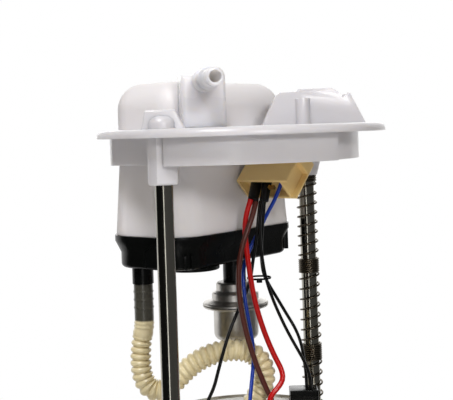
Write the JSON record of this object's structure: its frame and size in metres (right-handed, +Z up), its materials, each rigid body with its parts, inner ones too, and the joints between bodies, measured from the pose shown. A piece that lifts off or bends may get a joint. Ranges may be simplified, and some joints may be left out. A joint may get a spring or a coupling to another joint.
{
  "type": "electric fuel pump",
  "caption": "In-tank electric fuel pump module: round flange with outlet nipple and harness socket, filter canister, sprung guide rods, hose, wires and a sliding reservoir with level sender.",
  "frame": {"origin": "on the flange's axis at the seat where the flange rests on the tank", "axes": "+Z up out of the tank along the guide rods, +X from the plain guide rod to the sprung one, +Y towards the filter canister"},
  "size_m": [0.1434, 0.136, 0.26],
  "materials": {
    "flange_plastic": "satin moulded acetal",
    "brass": "tin-free stamped brass",
    "canister_plastic": "satin moulded acetal",
    "black_plastic": "satin moulded",
    "filter_paper": "resin-treated paper",
    "grey_plastic": "satin moulded",
    "regulator_steel": "yellow passivated sheet steel",
    "membrane_rubber": "moulded rubber",
    "spring_steel": "bright drawn",
    "rod_steel": "bright drawn",
    "beige_plastic": "satin moulded",
    "natural_plastic": "satin moulded",
    "sleeve_black": "heat-shrink tube",
    "wire_red": "extruded insulation",
    "wire_brown": "extruded insulation",
    "wire_blue": "extruded insulation",
    "wire_black": "extruded insulation",
    "hose_nylon": "translucent corrugated nylon",
    "fuel_rubber": "moulded rubber",
    "pump_steel": "zinc plated",
    "magnet_ferrite": "sintered ferrite",
    "armature_iron": "varnished laminations",
    "copper_part": "machined copper",
    "carbon": "pressed carbon",
    "mesh_cloth": "woven nylon mesh",
    "ceramic": "printed ceramic card",
    "float_foam": "closed-cell foam"
  },
  "bodies": {
    "flange_unit": {"flange_cover": "flange_plastic", "outlet_port": "flange_plastic", "harness_socket": "flange_plastic", "terminal_1": "brass", "terminal_2": "brass", "terminal_3": "brass", "terminal_4": "brass", "filter_housing": "canister_plastic", "filter_lid": "black_plastic", "filter_element": "filter_paper", "filter_cap_top": "grey_plastic", "filter_cap_bottom": "grey_plastic", "regulator_cover": "regulator_steel", "regulator_diaphragm": "membrane_rubber", "regulator_cup": "regulator_steel", "regulator_spring": "spring_steel", "guide_rod_left": "rod_steel", "guide_rod_right": "rod_steel", "rod_clip_left": "spring_steel", "rod_clip_right": "spring_steel", "spring": "spring_steel", "plug": "beige_plastic", "plug_lock": "natural_plastic", "shrink_sleeve_1": "sleeve_black", "shrink_sleeve_2": "sleeve_black", "cable_tie": "sleeve_black", "wire_red": "wire_red", "wire_brown": "wire_brown", "wire_blue": "wire_blue", "wire_black_a": "wire_black", "wire_black_b": "wire_black", "wire_black_c": "wire_black", "hose": "hose_nylon"},
    "pump_unit": {"reservoir_cup": "natural_plastic", "umbrella_valve": "fuel_rubber", "reservoir_cover": "natural_plastic", "wire_bush_1": "fuel_rubber", "wire_bush_2": "fuel_rubber", "pump_shell": "pump_steel", "outlet_cap": "black_plastic", "magnet_1": "magnet_ferrite", "magnet_2": "magnet_ferrite", "brush_1": "carbon", "brush_2": "carbon", "chamber_upper": "grey_plastic", "chamber_lower": "grey_plastic", "isolator": "fuel_rubber", "strainer": "mesh_cloth", "pump_plug": "natural_plastic", "sender_connector": "black_plastic", "sender_bracket": "black_plastic", "sender_card": "ceramic"},
    "rotor": {"armature": "armature_iron", "shaft": "rod_steel", "commutator": "copper_part", "impeller": "grey_plastic"},
    "check_poppet": {"check_valve": "brass"},
    "regulator_poppet": {"regulator_valve": "brass"},
    "float_lever": {"float_arm": "rod_steel", "float": "float_foam"}
  },
  "joints": [
    {"name": "module_slide", "type": "slide", "parent": "flange_unit", "child": "pump_unit", "axis": [0, 0, 1], "range_m": [0, 0.025], "stiffness_N_per_m": 400, "springref_m": -0.04, "deforming": ["spring", "hose", "wire_red", "wire_brown", "wire_blue", "wire_black_a", "wire_black_b", "wire_black_c", "cable_tie"]},
    {"name": "float_swing", "type": "hinge", "parent": "pump_unit", "child": "float_lever", "pos_m": [0, -0.0601, -0.175], "axis": [0, -1, 0], "range_deg": [0, 75]},
    {"name": "pump_spin", "type": "hinge", "parent": "pump_unit", "child": "rotor", "pos_m": [0.002, -0.008, -0.18], "axis": [0, 0, 1], "continuous": true},
    {"name": "check_valve_lift", "type": "slide", "parent": "pump_unit", "child": "check_poppet", "axis": [0, 0, 1], "range_m": [0, 0.0015]},
    {"name": "regulator_valve_lift", "type": "slide", "parent": "flange_unit", "child": "regulator_poppet", "axis": [0, 0, -1], "range_m": [0, 0.0008], "stiffness_N_per_m": 3000, "springref_m": -0.003, "deforming": ["regulator_spring"]}
  ]
}
